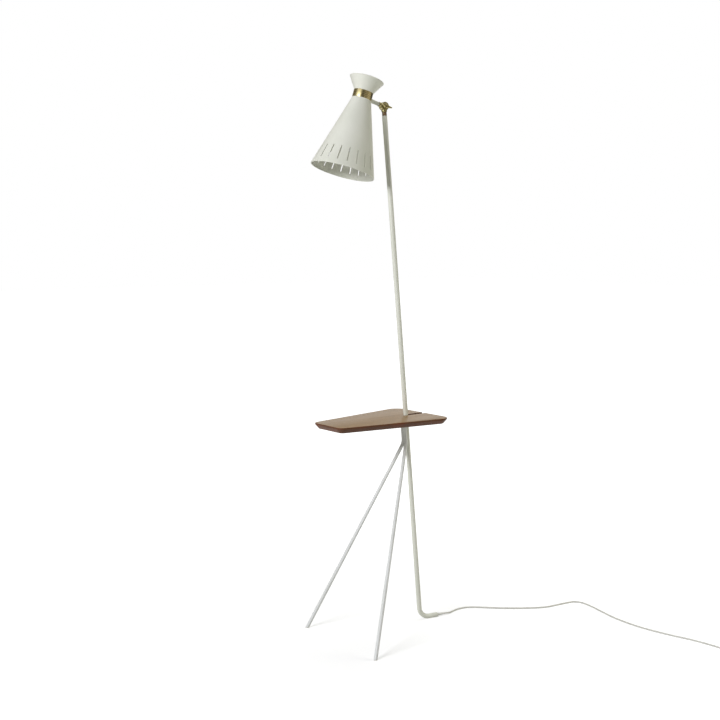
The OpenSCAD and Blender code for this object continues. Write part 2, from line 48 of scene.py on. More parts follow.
slot_of = {part["node"]: part["material_slot"] for part in frame["record"]["subparts"]}
scene = bpy.context.scene

# ---------- the lamp's own sizes, in millimetres, as in the part's source ----------

LEAN = 5.6
POLE_FOOT_Y = 128.2
POLE_R = 6.35
KNUCKLE_H = 1365
HEAD_TURN = -9.5
HEAD_TILT = 16.5
ARM_REACH = 65.5
WING_TURN = -17
TOE_TURN = -12
TOE_REACH = 52.5

RING_R = 24.9
RING_LOW, RING_HIGH = -6, 13.4
RING_WALL = 1.2
SLEEVE_R = 23.65
MOUTH_R, MOUTH_Z = 81.4, -191
CONE_TOP_R = 24.6
CONE_SLEEVE_LOW, CONE_SLEEVE_HIGH = -8.5, 6.9
FLARE_R, FLARE_Z = 43.65, 45.8
FLARE_SLEEVE_LOW, FLARE_START = 8.6, 13.5
SHEET = 1.0
BEAD_R = 1.2
SHADE_SLOTS = 20
SLOT_LENGTH, SLOT_WIDTH, SLOT_MARGIN = 38, 2.5, 12.5
FIRST_SLOT = 0.7
HOLDER_LOW, HOLDER_LENGTH, HOLDER_BORE_R, HOLDER_R, HOLDER_COLLAR_R = -56, 34, 13.6, 15.6, 17
BULB_R, BULB_DROP, BULB_NECK_R = 29.98, 54, 15.0

TABLE_Z = 571.5
TABLE_THICK, TABLE_BAND, TABLE_BEVEL = 15, 4, 9.5
TABLE_BACK, TABLE_FRONT = 64, 263
TABLE_BACK_W, TABLE_FRONT_W = 214, 121
TABLE_BACK_R, TABLE_FRONT_R = 28, 20
POLE_SLOT = 14.5
PLATE_THICK = 3
SCREW_SPREAD_X, SCREW_SPREAD_Y, SCREW_SHIFT = 64.0, 76.0, 20

CORD_D = 4.5
COIL_CENTRE = (705, 487)
COIL_R, COIL_STEP, COIL_TURNS, COIL_DIP = 34, 4.95, 3, 0.2
PLUG_PLACE = (672.5, 521, 7.2)
PLUG_LENGTH, PLUG_NECK, PIN_OFFSET = 36, 20, 9.5

# ---------- frames ----------


def moved(x, y, z):
    return Matrix.Translation((x, y, z))


def turned(axis, degrees):
    return Matrix.Rotation(radians(degrees), 4, axis)


def pole_y(height):
    """The pole's axis at a height over the floor."""
    return POLE_FOOT_Y - height * tan(radians(LEAN))


METRES = Matrix.Scale(0.001, 4)
FLOOR = Matrix.Identity(4)
ON_POLE = moved(0, POLE_FOOT_Y, 0) @ turned("X", LEAN)
AT_KNUCKLE = ON_POLE @ moved(0, 0, KNUCKLE_H / cos(radians(LEAN))) @ turned("Z", HEAD_TURN)
AT_ARM = AT_KNUCKLE @ turned("X", -HEAD_TILT - LEAN)
AT_HEAD = AT_ARM @ moved(0, -ARM_REACH, 0)
AT_PLUG = moved(PLUG_PLACE[0], PLUG_PLACE[1] + POLE_FOOT_Y, PLUG_PLACE[2]) @ turned("Z", 180)
TOE_OUT = Vector((-sin(radians(TOE_TURN)), cos(radians(TOE_TURN)), 0))
TOE_END = Vector((0, pole_y(POLE_R), POLE_R)) + TOE_OUT * TOE_REACH
AT_TOE = Matrix.Translation(TOE_END) @ TOE_OUT.to_track_quat("Z", "Y").to_matrix().to_4x4()

# ---------- camera ----------

CAMERA_PLACE = (2.10739, -1.76906, 1.02471)
CAMERA_DIP, CAMERA_TURN = 6.27, 51.33  # degrees below level, and round from looking along +Y
SENSOR_WIDTH, FOCAL_LENGTH = 36, 53.525  # millimetres

camera = bpy.data.objects.new("camera", bpy.data.cameras.new("camera"))
scene.collection.objects.link(camera)
camera.location = CAMERA_PLACE
camera.rotation_euler = (radians(90 - CAMERA_DIP), 0, radians(CAMERA_TURN))
camera.data.sensor_width = SENSOR_WIDTH
camera.data.lens = FOCAL_LENGTH
camera.data.clip_start, camera.data.clip_end = 0.05, 60
scene.camera = camera
scene.view_settings.view_transform = "Standard"

# ---------- nodes and colours ----------

MIX_A, MIX_B, MIX_RESULT = 6, 7, 2  # the colour sockets of a Mix node


def add(tree, kind, settings=None, inputs=None):
    """Adds one node. An input's value is a number, a colour, or another node's output to link."""
    made = tree.nodes.new(kind)
    for name, value in (settings or {}).items():
        setattr(made, name, value)
    for name, value in (inputs or {}).items():
        if isinstance(value, bpy.types.NodeSocket):
            tree.links.new(value, made.inputs[name])
        else:
            made.inputs[name].default_value = value
    return made


def colour(text):
    """An sRGB hex colour as linear red, green, blue and 1."""
    parts = [int(text[k : k + 2], 16) / 255 for k in (1, 3, 5)]
    return (*[c / 12.92 if c <= 0.04045 else ((c + 0.055) / 1.055) ** 2.4 for c in parts], 1)


def start_finish(name, sockets):
    """A new material, its tree and its shader, with plain values on the shader's own sockets."""
    material = bpy.data.materials.new(name)
    material.use_nodes = True
    tree = material.node_tree
    tree.nodes.clear()
    shader = add(tree, "ShaderNodeBsdfPrincipled", inputs=sockets)
    add(tree, "ShaderNodeOutputMaterial", inputs={"Surface": shader.outputs[0]})
    return material, tree, shader


def object_place(tree, size=(1, 1, 1), place=None):
    """Object coordinates, or a piece's own frame, counted in patterns of that size in metres."""
    where = add(tree, "ShaderNodeTexCoord").outputs["Object"]
    if place is not None:
        spot = METRES @ place
        where = add(tree, "ShaderNodeMapping", {"vector_type": "TEXTURE"},
                    {"Vector": where, "Location": spot.to_translation(),
                     "Rotation": place.to_euler()}).outputs[0]
    return add(tree, "ShaderNodeMapping", {"vector_type": "POINT"},
               {"Vector": where, "Scale": [1 / s for s in size]}).outputs[0]


def noise(tree, size, detail, place=None, distortion=0.0):
    """Noise with lumps of that size in metres, along a piece's own axes."""
    return add(tree, "ShaderNodeTexNoise", inputs={
        "Vector": object_place(tree, size, place), "Scale": 1.0, "Detail": detail,
        "Distortion": distortion}).outputs[0]


def tint(tree, shader, amount, first, second):
    """Lets the shader's colour run from one hex colour to another."""
    mix = add(tree, "ShaderNodeMix", {"data_type": "RGBA"},
              {"Factor": amount, MIX_A: colour(first), MIX_B: colour(second)})
    tree.links.new(mix.outputs[MIX_RESULT], shader.inputs["Base Color"])
    return mix


def between(tree, value, low, high, start=0.0, stop=1.0):
    """A value scaled from start..stop to low..high."""
    return add(tree, "ShaderNodeMapRange", inputs={
        "Value": value, "From Min": start, "From Max": stop,
        "To Min": low, "To Max": high}).outputs[0]


def seen_rays(tree):
    """1 for the rays of the camera, and for those by way of metal or glass, and 0 for others."""
    rays = add(tree, "ShaderNodeLightPath").outputs
    most = rays["Is Camera Ray"]
    for other in ("Is Glossy Ray", "Is Transmission Ray"):
        most = add(tree, "ShaderNodeMath", {"operation": "MAXIMUM"},
                   {0: most, 1: rays[other]}).outputs[0]
    return most


def relief(tree, shader, height, depth, strength=1.0):
    """A bump of that depth in metres."""
    bump = add(tree, "ShaderNodeBump", inputs={
        "Strength": strength, "Distance": depth, "Height": height})
    tree.links.new(bump.outputs[0], shader.inputs["Normal"])


# ---------- finishes ----------


def powder_coat(name, fresh, aged):
    """Powder coat baked on steel: a satin skin, a faint orange peel, yellowed in places."""
    material, tree, shader = start_finish(name, {"IOR": 1.5, "Specular IOR Level": 0.45})
    clouds = noise(tree, (0.07, 0.07, 0.12), 3.0)
    # the peel is about 1 mm in truth, and drawn at 1.6 mm so that it shows
    peel = noise(tree, (0.0016,) * 3, 2.0)
    tint(tree, shader, between(tree, clouds, 0, 1, 0.35, 0.65), fresh, aged)
    tree.links.new(between(tree, peel, 0.36, 0.46, 0.3, 0.7), shader.inputs["Roughness"])
    relief(tree, shader, peel, 0.00005, 0.6)
    return material


def lathe_brushed_brass(place):
    """Brass turned and brushed round its axis, then lacquered: fine rings and some tarnish."""
    material, tree, shader = start_finish("lathe_brushed_brass", {
        "Metallic": 1.0, "Coat Weight": 0.3, "Coat Roughness": 0.15})
    # brush lines are 0.1 mm apart in truth, and drawn 0.5 mm apart so that they show
    lines = noise(tree, (0.05, 0.05, 0.0005), 3.0, place)
    tarnish = noise(tree, (0.012, 0.012, 0.03), 4.0, place)
    tint(tree, shader, between(tree, tarnish, 0, 1, 0.4, 0.7), "#CDC092", "#B3A574")
    tree.links.new(between(tree, lines, 0.2, 0.34, 0.3, 0.7), shader.inputs["Roughness"])
    relief(tree, shader, lines, 0.00003, 0.5)
    return material


def cast_brass():
    """Small brass castings, tumbled and lacquered: softer gloss, darker where hands don't rub."""
    material, tree, shader = start_finish("cast_lacquered_brass", {"Metallic": 1.0})
    spots = noise(tree, (0.004,) * 3, 5.0)
    grain = noise(tree, (0.0008,) * 3, 2.0)
    tint(tree, shader, between(tree, spots, 0, 1, 0.35, 0.7), "#B2A878", "#655A3A")
    tree.links.new(between(tree, spots, 0.22, 0.42, 0.3, 0.7), shader.inputs["Roughness"])
    relief(tree, shader, grain, 0.00005, 0.4)
    return material


def brown_patina_bronze():
    """Bronze with a brown chemical patina: dull, reddish where it has rubbed."""
    material, tree, shader = start_finish("brown_patina_bronze", {"Metallic": 0.8})
    rub = noise(tree, (0.004,) * 3, 4.0)
    tint(tree, shader, between(tree, rub, 0, 1, 0.4, 0.65), "#665642", "#8E745A")
    tree.links.new(between(tree, rub, 0.5, 0.34, 0.3, 0.7), shader.inputs["Roughness"])
    relief(tree, shader, rub, 0.00005, 0.5)
    return material


def walnut_veneer():
    """Straight-grained walnut veneer under satin lacquer: long fine streaks along the table."""
    material, tree, shader = start_finish("lacquered_walnut_veneer", {
        "IOR": 1.5, "Specular IOR Level": 0.1})
    # streaks are 2 to 4 mm wide and a hand long; pores are 0.4 mm wide, drawn at 0.7 mm
    figure = noise(tree, (0.022, 0.35, 0.1), 2.0, distortion=0.4)
    streaks = noise(tree, (0.003, 0.12, 0.02), 5.0, distortion=0.2)
    pores = noise(tree, (0.0007, 0.009, 0.01), 2.0)
    both = add(tree, "ShaderNodeMath", {"operation": "MULTIPLY_ADD"},
               {0: figure, 1: 0.6, 2: between(tree, streaks, 0, 0.4)}).outputs[0]
    base = tint(tree, shader, between(tree, both, 0, 1, 0.3, 0.7), "#A98A60", "#93744B")
    dark = add(tree, "ShaderNodeMix", {"data_type": "RGBA", "blend_type": "MULTIPLY"}, {
        "Factor": between(tree, pores, 0.0, 0.55, 0.56, 0.72),
        MIX_A: base.outputs[MIX_RESULT], MIX_B: colour("#7A6656")})
    tree.links.new(dark.outputs[MIX_RESULT], shader.inputs["Base Color"])
    tree.links.new(between(tree, streaks, 0.3, 0.38, 0.3, 0.7), shader.inputs["Roughness"])
    relief(tree, shader, pores, 0.00004, 0.35)
    return material


def walnut_lipping():
    """Solid walnut lipping, stained dark, redder in places, its grain along the edge."""
    material, tree, shader = start_finish("stained_walnut_lipping", {
        "IOR": 1.5, "Roughness": 0.45, "Specular IOR Level": 0.15})
    along = add(tree, "ShaderNodeUVMap", {"uv_map": "edge"}).outputs[0]
    fine = add(tree, "ShaderNodeMapping", inputs={"Vector": along, "Scale": (9, 700, 1)}).outputs[0]
    streaks = add(tree, "ShaderNodeTexNoise", inputs={
        "Vector": fine, "Scale": 1.0, "Detail": 4.0, "Distortion": 0.3}).outputs[0]
    wide = add(tree, "ShaderNodeMapping", inputs={"Vector": along, "Scale": (12, 30, 1)}).outputs[0]
    broad = add(tree, "ShaderNodeTexNoise", inputs={
        "Vector": wide, "Scale": 1.0, "Detail": 2.0}).outputs[0]
    mix = tint(tree, shader, between(tree, streaks, 0, 1, 0.3, 0.7), "#6E4831", "#543726")
    red = add(tree, "ShaderNodeMix", {"data_type": "RGBA"}, {
        "Factor": between(tree, broad, 0, 0.6, 0.5, 0.7), MIX_A: mix.outputs[MIX_RESULT],
        MIX_B: colour("#80432C")})
    tree.links.new(red.outputs[MIX_RESULT], shader.inputs["Base Color"])
    relief(tree, shader, streaks, 0.00006, 0.4)
    return material


def zinc_plate():
    """Bright zinc plate on steel screws and nuts: cool grey with a fine frost."""
    material, tree, shader = start_finish("bright_zinc_plate", {"Metallic": 1.0})
    frost = noise(tree, (0.0012,) * 3, 4.0)
    tint(tree, shader, frost, "#B9BCBE", "#9DA1A4")
    tree.links.new(between(tree, frost, 0.28, 0.42, 0.3, 0.7), shader.inputs["Roughness"])
    relief(tree, shader, frost, 0.00003, 0.4)
    return material


def nickel_plate():
    """Nickel on brass pins: brighter and warmer than zinc, with draw marks along them."""
    material, tree, shader = start_finish("nickel_plated_pin", {"Metallic": 1.0})
    marks = noise(tree, (0.012, 0.0005, 0.0005), 2.0)
    tint(tree, shader, marks, "#D8D4CA", "#BDB8AC")
    tree.links.new(between(tree, marks, 0.15, 0.28, 0.3, 0.7), shader.inputs["Roughness"])
    return material


def moulded_plastic():
    """White moulded thermoplastic with a spark-eroded grain: matt satin, even colour."""
    material, tree, shader = start_finish("moulded_white_plastic", {"IOR": 1.46})
    # the grain is 0.3 mm in truth, and drawn at 0.6 mm so that it shows
    grain = noise(tree, (0.0006,) * 3, 2.0)
    flow = noise(tree, (0.02,) * 3, 2.0)
    tint(tree, shader, flow, "#E9E8E2", "#DFDED6")
    tree.links.new(between(tree, grain, 0.38, 0.5, 0.3, 0.7), shader.inputs["Roughness"])
    relief(tree, shader, grain, 0.00004, 0.5)
    return material


def pvc_sheath():
    """White PVC sheath of a round flex: smooth, slightly wavy over the two cores twisted inside."""
    material, tree, shader = start_finish("white_pvc_sheath", {"IOR": 1.53})
    waves = noise(tree, (0.012,) * 3, 3.0)
    scuffs = noise(tree, (0.0015,) * 3, 3.0)
    tint(tree, shader, waves, "#DEDDD6", "#D2D0C8")
    tree.links.new(between(tree, scuffs, 0.32, 0.46, 0.3, 0.7), shader.inputs["Roughness"])
    relief(tree, shader, waves, 0.0002, 0.3)
    return material


def opal_glass():
    """Glass blown, then coated white inside: bright and smooth outside, a soft depth behind it."""
    material, tree, shader = start_finish("opal_coated_glass", {
        "IOR": 1.5, "Roughness": 0.12, "Subsurface Weight": 0.15, "Subsurface Scale": 0.004})
    haze = noise(tree, (0.03,) * 3, 2.0)
    tint(tree, shader, haze, "#F2F1EC", "#EAE9E2")
    return material


paint = powder_coat("ivory_powder_coat", "#E6E6DB", "#DEDFD2")
# the legs share the pole's powder coat; this paler, more neutral copy of it is painted light,
# standing for the key's cool light on them
legs_painted_lit_coat = powder_coat("powder_coat_painted_lit_on_legs", "#E7E8E7", "#E0E1DE")
ring_brass = lathe_brushed_brass(AT_HEAD)
brass = cast_brass()
bronze = brown_patina_bronze()
veneer = walnut_veneer()
lipping = walnut_lipping()
zinc = zinc_plate()
nickel = nickel_plate()
plastic = moulded_plastic()
sheath = pvc_sheath()
opal = opal_glass()

FINISH = {"paint": paint, "brass": brass, "bronze": bronze, "walnut": veneer, "steel": zinc,
          "plastic": plastic, "glass": opal, "cord": sheath}
for name, solid in nodes.items():
    solid.data.materials.clear()
    # the legs take the painted-light copy of the coat, everything else its slot's own finish
    solid.data.materials.append(legs_painted_lit_coat if name.startswith("leg_") else FINISH[slot_of[name]])

# ---------- making pieces ----------


def settled(bm):
    """The finished mesh of a closed shape, its faces outwards."""
    bmesh.ops.recalc_face_normals(bm, faces=bm.faces)
    mesh = bpy.data.meshes.new("piece")
    bm.to_mesh(mesh)
    bm.free()
    return mesh


def new_piece(name, body, mesh, place, finishes, stands_for, crease=35):
    """Puts a millimetre mesh in its place, smooths it between creases, hangs it on its body and
    hides the CAD solids it stands for.
    """
    mesh.transform(METRES @ place)
    mesh.name = name
    if mesh.materials:
        mesh.materials.clear()
    for finish in finishes:
        mesh.materials.append(finish)
    mesh.shade_smooth()
    mesh.set_sharp_from_angle(angle=radians(crease))
    piece = bpy.data.objects.new(name, mesh)
    scene.collection.objects.link(piece)
    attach(piece, body)
    if stands_for:
        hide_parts(*stands_for)
    return piece


def eased(corners, steps=4, closed=True):
    """The outline through (x, y, rounding) corners, each rounded by its own radius."""
    line, last = [], len(corners) - 1
    for i, (x, y, rounding) in enumerate(corners):
        spot = Vector((x, y))
        if rounding <= 0 or (not closed and i in (0, last)):
            line.append(spot)
            continue
        back = (Vector(corners[i - 1][:2]) - spot).normalized()
        on = (Vector(corners[(i + 1) % len(corners)][:2]) - spot).normalized()
        half = back.angle(on) / 2
        centre = spot + (back + on).normalized() * rounding / sin(half)
        first, final = (spot + side * rounding / tan(half) - centre for side in (back, on))
        line += [centre + first.slerp(final, k / steps) * rounding for k in range(steps + 1)]
    return [(p.x, p.y) for p in line]


def revolved(profile, sides=96, closed=True):
    """A turned shape from (radius, height) points; points on the axis close it."""
    bm = bmesh.new()
    rings = []
    for r, z in profile:
        count = sides if r > 1e-6 else 1
        rings.append([bm.verts.new((r * cos(tau * k / sides), r * sin(tau * k / sides), z))
                      for k in range(count)])
    pairs = list(zip(rings, rings[1:])) + ([(rings[-1], rings[0])] if closed else [])
    for low, high in pairs:
        for k in range(sides):
            corners = [low[k % len(low)], low[(k + 1) % sides % len(low)],
                       high[(k + 1) % sides % len(high)], high[k % len(high)]]
            corners = list(dict.fromkeys(corners))
            if len(corners) > 2:
                bm.faces.new(corners)
    return bm


def lofted(sections):
    """A closed shape through rings of points, with a flat face at each end."""
    bm = bmesh.new()
    rows = [[bm.verts.new(p) for p in section] for section in sections]
    count = len(rows[0])
    for a, b in zip(rows, rows[1:]):
        for k in range(count):
            bm.faces.new((a[k], a[(k + 1) % count], b[(k + 1) % count], b[k]))
    bm.faces.new(rows[0][::-1])
    bm.faces.new(rows[-1])
    return bm


def joined(meshes):
    """Several meshes as one."""
    bm = bmesh.new()
    for mesh in meshes:
        bm.from_mesh(mesh)
    made = bpy.data.meshes.new("joined")
    bm.to_mesh(made)
    bm.free()
    return made


def eased_copy(node, name, body, ease, finish):
    """A copy of a CAD solid with its arrises rounded by that many millimetres."""
    mesh = nodes[node].data.copy()
    for layer in ("custom_normal", "sharp_face"):
        if layer in mesh.attributes:
            mesh.attributes.remove(mesh.attributes[layer])
    mesh.transform(METRES.inverted())
    bm = bmesh.new()
    bm.from_mesh(mesh)
    bmesh.ops.remove_doubles(bm, verts=bm.verts, dist=0.002)
    bmesh.ops.dissolve_limit(bm, angle_limit=radians(0.8), verts=bm.verts, edges=bm.edges)
    arrises = [e for e in bm.edges if e.is_manifold and e.calc_face_angle(0) > radians(30)]
    bmesh.ops.bevel(bm, geom=arrises, offset=ease, offset_type="OFFSET", segments=2, profile=0.6,
                    affect="EDGES", clamp_overlap=True)
    return new_piece(name, body, settled(bm), FLOOR, [finish], [node])


# ---------- what repeats ----------


def start_tree(name, inputs):
    """A geometry tree with its named inputs and one result."""
    tree = bpy.data.node_groups.new(name, "GeometryNodeTree")
    for label, kind in inputs:
        tree.interface.new_socket(label, in_out="INPUT", socket_type="NodeSocket" + kind)
    tree.interface.new_socket("Result", in_out="OUTPUT", socket_type="NodeSocketGeometry")
    return tree, add(tree, "NodeGroupInput").outputs


def end_tree(tree, given, copies):
    """Makes the copies real, welds them where they meet and gives them their finish."""
    real = add(tree, "GeometryNodeRealizeInstances", inputs={"Geometry": copies})
    welded = add(tree, "GeometryNodeMergeByDistance", inputs={
        "Geometry": real.outputs[0], "Distance": given["Weld"]})
    coated = add(tree, "GeometryNodeSetMaterial", inputs={
        "Geometry": welded.outputs[0], "Material": given["Finish"]})
    add(tree, "NodeGroupOutput", inputs={"Result": coated.outputs[0]})


def copies_round_axis():
    """Copies of one shape, evenly round the Z axis."""
    tree, given = start_tree("copies_round_axis", [
        ("Shape", "Geometry"), ("Copies", "Int"), ("First angle", "Float"), ("Weld", "Float"),
        ("Finish", "Material")])
    number = add(tree, "GeometryNodeInputIndex").outputs[0]
    pitch = add(tree, "ShaderNodeMath", {"operation": "DIVIDE"},
                {0: tau, 1: given["Copies"]}).outputs[0]
    turn = add(tree, "ShaderNodeMath", {"operation": "MULTIPLY_ADD"},
               {0: number, 1: pitch, 2: given["First angle"]}).outputs[0]
    spin = add(tree, "ShaderNodeCombineXYZ", inputs={"Z": turn}).outputs[0]
    spots = add(tree, "GeometryNodePoints", inputs={"Count": given["Copies"]}).outputs[0]
    copies = add(tree, "GeometryNodeInstanceOnPoints", inputs={
        "Points": spots, "Instance": given["Shape"], "Rotation": spin}).outputs[0]
    end_tree(tree, given, copies)
    return tree


def copies_in_row():
    """Copies of one shape in a straight row."""
    tree, given = start_tree("copies_in_row", [
        ("Shape", "Geometry"), ("Copies", "Int"), ("Start", "Vector"), ("Step", "Vector"),
        ("Weld", "Float"), ("Finish", "Material")])
    line = add(tree, "GeometryNodeMeshLine", {"mode": "OFFSET"}, {
        "Count": given["Copies"], "Start Location": given["Start"],
        "Offset": given["Step"]}).outputs[0]
    copies = add(tree, "GeometryNodeInstanceOnPoints", inputs={
        "Points": line, "Instance": given["Shape"]}).outputs[0]
    end_tree(tree, given, copies)
    return tree


def copies_at_corners():
    """Copies of one shape at the four corners of a rectangle."""
    tree, given = start_tree("copies_at_corners", [
        ("Shape", "Geometry"), ("Width", "Float"), ("Length", "Float"), ("Centre", "Vector"),
        ("Weld", "Float"), ("Finish", "Material")])
    corners = add(tree, "GeometryNodeMeshGrid", inputs={
        "Size X": given["Width"], "Size Y": given["Length"],
        "Vertices X": 2, "Vertices Y": 2}).outputs[0]
    placed = add(tree, "GeometryNodeTransform", inputs={
        "Geometry": corners, "Translation": given["Centre"]}).outputs[0]
    copies = add(tree, "GeometryNodeInstanceOnPoints", inputs={
        "Points": placed, "Instance": given["Shape"]}).outputs[0]
    end_tree(tree, given, copies)
    return tree


ROUND, ROW, CORNERS = copies_round_axis(), copies_in_row(), copies_at_corners()


def repeated(tree, shape, sizes, modifiers=()):
    """The plain mesh that a tree makes of a shape, with any further (type, settings) modifiers."""
    source = bpy.data.objects.new("shape", shape)
    scene.collection.objects.link(source)
    repeat = source.modifiers.new("repeat", "NODES")
    repeat.node_group = tree
    for item in tree.interface.items_tree:
        if item.name in sizes:
            repeat[item.identifier] = sizes[item.name]
    for kind, settings in modifiers:
        extra = source.modifiers.new(kind, kind)
        for name, value in settings.items():
            setattr(extra, name, value)
    bpy.context.view_layer.update()
    made = bpy.data.meshes.new_from_object(
        source.evaluated_get(bpy.context.evaluated_depsgraph_get()))
    source.modifiers.clear()
    bpy.data.objects.remove(source)
    return made


# ---------- cord ----------


def coil_point(turn):
    """A point of the coil: three turns inwards on the floor, a half turn up, three turns out."""
    if turn <= COIL_TURNS:
        inwards, up = turn, 0
    elif turn <= COIL_TURNS + 0.5:
        inwards = COIL_TURNS + COIL_DIP * sin((turn - COIL_TURNS) * tau)
        up = (1 - cos((turn - COIL_TURNS) * tau)) / 2
    else:
        inwards, up = 2 * COIL_TURNS + 0.5 - turn, 1
    r = COIL_R - COIL_STEP * inwards
    return (COIL_CENTRE[0] + r * sin(tau * turn), COIL_CENTRE[1] - r * cos(tau * turn),
            CORD_D / 2 + COIL_STEP * up)


# the cord's way from the toe, down to the floor, in loose curves along it and into the coil
ON_FLOOR = 2.3
CORD_ROUTE = [
    (14.7, 68.5, 6.37), (16.6, 79, 6), (17, 89, 4.6), (14.5, 100, 2.9), (11, 111, ON_FLOOR),
    (8.5, 123, ON_FLOOR), (7.5, 136, ON_FLOOR), (9, 151, ON_FLOOR), (14, 166, ON_FLOOR),
    (29, 186, ON_FLOOR), (62, 219, ON_FLOOR), (94, 254, ON_FLOOR), (124, 294, ON_FLOOR),
    (149, 336, ON_FLOOR), (158, 376, ON_FLOOR), (164, 414, ON_FLOOR), (172, 438, ON_FLOOR),
    (190, 448, ON_FLOOR), (225, 445, ON_FLOOR), (265, 435, ON_FLOOR), (330, 420, ON_FLOOR),
    (410, 416, ON_FLOOR), (490, 428, ON_FLOOR), (560, 445, ON_FLOOR), (625, 453, ON_FLOOR),
    (700.4, 453, ON_FLOOR)]
COIL_STEPS = 24
coil = [coil_point(i / COIL_STEPS) for i in range(int((2 * COIL_TURNS + 0.5) * COIL_STEPS) + 1)]
coil_x, coil_y, coil_z = coil[-1]
into_plug = [(coil_x - 6, coil_y, coil_z), (coil_x - 13, coil_y, coil_z)]
cord_points = [Vector((x, y + POLE_FOOT_Y, z)) / 1000 for x, y, z in CORD_ROUTE + coil + into_plug]


def laid_cord(name, points, thickness):
    """A cord as one smooth open curve through its points."""
    curve = bpy.data.curves.new(name, "CURVE")
    curve.dimensions = "3D"
    curve.resolution_u = 6
    curve.bevel_depth = thickness / 2
    curve.bevel_resolution = 4
    curve.use_fill_caps = True
    spline = curve.splines.new("BEZIER")
    spline.bezier_points.add(len(points) - 1)
    last = len(points) - 1
    for i, (knot, point) in enumerate(zip(spline.bezier_points, points)):
        before, after = points[max(i - 1, 0)], points[min(i + 1, last)]
        way = (after - before).normalized() / 3
        knot.co = point
        knot.handle_left = point - way * (point - before).length
        knot.handle_right = point + way * (after - point).length
    cord = bpy.data.objects.new(name, curve)
    scene.collection.objects.link(cord)
    curve.materials.append(sheath)
    return cord


flex = laid_cord("mains_flex", cord_points, CORD_D / 1000)
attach(flex, "base")
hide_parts("cord", "cord_coil")

# ---------- plug ----------


def rounded_section(x, width, height, power=5.0, count=64):
    """A rounded rectangle across the plug."""
    ring = []
    for k in range(count):
        a = tau * k / count
        c, s = cos(a), sin(a)
        ring.append((x, width / 2 * abs(c) ** (2 / power) * (1 if c >= 0 else -1),
                     height / 2 * abs(s) ** (2 / power) * (1 if s >= 0 else -1)))
    return ring


def plug_shell():
    """The moulded body of the flat two-pin plug, widening from its neck to its pin face."""
    sizes = [(-1, 9.5, 9.5, 2.2), (2, 13, 11.2, 2.6), (6, 19.5, 12.4, 3.4), (11, 27, 13.2, 4.2),
             (16, 32, 13.7, 5), (21, 34.3, 13.8, 5.5), (28, 35, 13.9, 6), (34.4, 35, 13.9, 6),
             (35.4, 34.6, 13.5, 6), (35.85, 34, 12.9, 6), (36, 33.2, 12.2, 6)]
    return settled(lofted([rounded_section(*size) for size in sizes]))


def ribbed_neck(start, stop, r_start, r_stop, ribs, bore, groove=0.45):
    """A tapered strain relief with grooves cut round it, as a turned profile."""
    profile = [(bore, start), (r_start - 0.3, start), (r_start, start + 0.3)]
    pitch = (stop - start - 2) / ribs
    for i in range(ribs):
        for share, cut in ((0.15, 0), (0.3, groove), (0.55, groove), (0.7, 0)):
            z = start + 1 + (i + share) * pitch
            r = r_start + (r_stop - r_start) * (z - start) / (stop - start)
            profile.append((r - cut, z))
    profile += [(r_stop, stop - 0.3), (r_stop - 0.3, stop), (bore, stop)]
    return settled(revolved(profile, 40))


def grip_rib():
    """One low rounded rib of the plug's grip."""
    rows = [[(x + dx, dy * 8.5, z) for dx, dy in ((-0.7, -1), (-0.7, 1), (0.7, 1), (0.7, -1))]
            for x, z in ((0, -0.6), (0, 0.15))]
    rows.append([(dx, dy * 8.2, 0.38) for dx, dy in
                 ((-0.35, -1), (-0.35, 1), (0.35, 1), (0.35, -1))])
    return settled(lofted(rows))


neck = ribbed_neck(-PLUG_NECK, 0, 3.25, 4.5, 6, CORD_D / 2 + 0.1)
neck.transform(turned("Y", 90))
ribs = []
for side in (1, -1):
    row = repeated(ROW, grip_rib(), {
        "Copies": 5, "Start": (20.5, 0, 6.8), "Step": (2.6, 0, 0), "Weld": 0.001,
        "Finish": plastic})
    if side < 0:
        row.transform(turned("X", 180))
    ribs.append(row)
plug = new_piece("plug_shell", "base", joined([plug_shell(), neck] + ribs), AT_PLUG, [plastic],
                 ["plug_body"], 40)


def plug_pin(name, node, side):
    """A round pin with a moulded sleeve on its inner half and a bare rounded tip."""
    sleeve_end, tip = 10.3, 18.1
    profile = [(0, -1), (1.5, -1), (1.5, 0.1), (2, 0.1), (2, sleeve_end - 0.1), (1.9, sleeve_end),
               (1.9, sleeve_end + 0.1), (2, sleeve_end + 0.2)]
    profile += [(1 + cos(a), tip + sin(a)) for a in (radians(d) for d in range(0, 91, 15))]
    profile.append((0, tip + 1))
    bm = revolved(profile, 32, closed=False)
    for face in bm.faces:
        face.material_index = 1 if face.calc_center_median().z > sleeve_end else 0
    at_pin = AT_PLUG @ moved(PLUG_LENGTH, side * PIN_OFFSET, 0) @ turned("Y", 90)
    return new_piece(name, "base", settled(bm), at_pin, [plastic, nickel], [node])


pins = [plug_pin("plug_pin_near", "plug_pin_1", -1), plug_pin("plug_pin_far", "plug_pin_2", 1)]

# ---------- grommet on the pole's toe ----------

collar_profile = eased([(2.5, 0.1, 0), (6.3, 0.1, 0.3), (6.3, 2.1, 0.8), (2.5, 2.1, 0)])
collar = settled(revolved(collar_profile, 48))
nose = ribbed_neck(1.6, 20.1, 3.75, 2.9, 6, CORD_D / 2 + 0.15, 0.35)
new_piece("cord_grommet_ribbed", "base", joined([collar, nose]), AT_TOE, [plastic],
          ["cord_grommet"])

# ---------- table ----------


def hull_round(circles, steps=16):
    """The outline round four corner circles (x, y, radius), anticlockwise, corner by corner."""
    corners = []
    for i, (x, y, r) in enumerate(circles):
        normals = []
        for (x1, y1, r1), (x2, y2, r2) in ((circles[i - 1], circles[i]),
                                           (circles[i], circles[(i + 1) % 4])):
            direction = atan2(y2 - y1, x2 - x1)
            normals.append(direction - pi / 2 + asin((r1 - r2) / hypot(x2 - x1, y2 - y1)))
        sweep = (normals[1] - normals[0]) % tau
        corners.append([(x + r * cos(normals[0] + sweep * k / steps),
                         y + r * sin(normals[0] + sweep * k / steps)) for k in range(steps + 1)])
    return corners


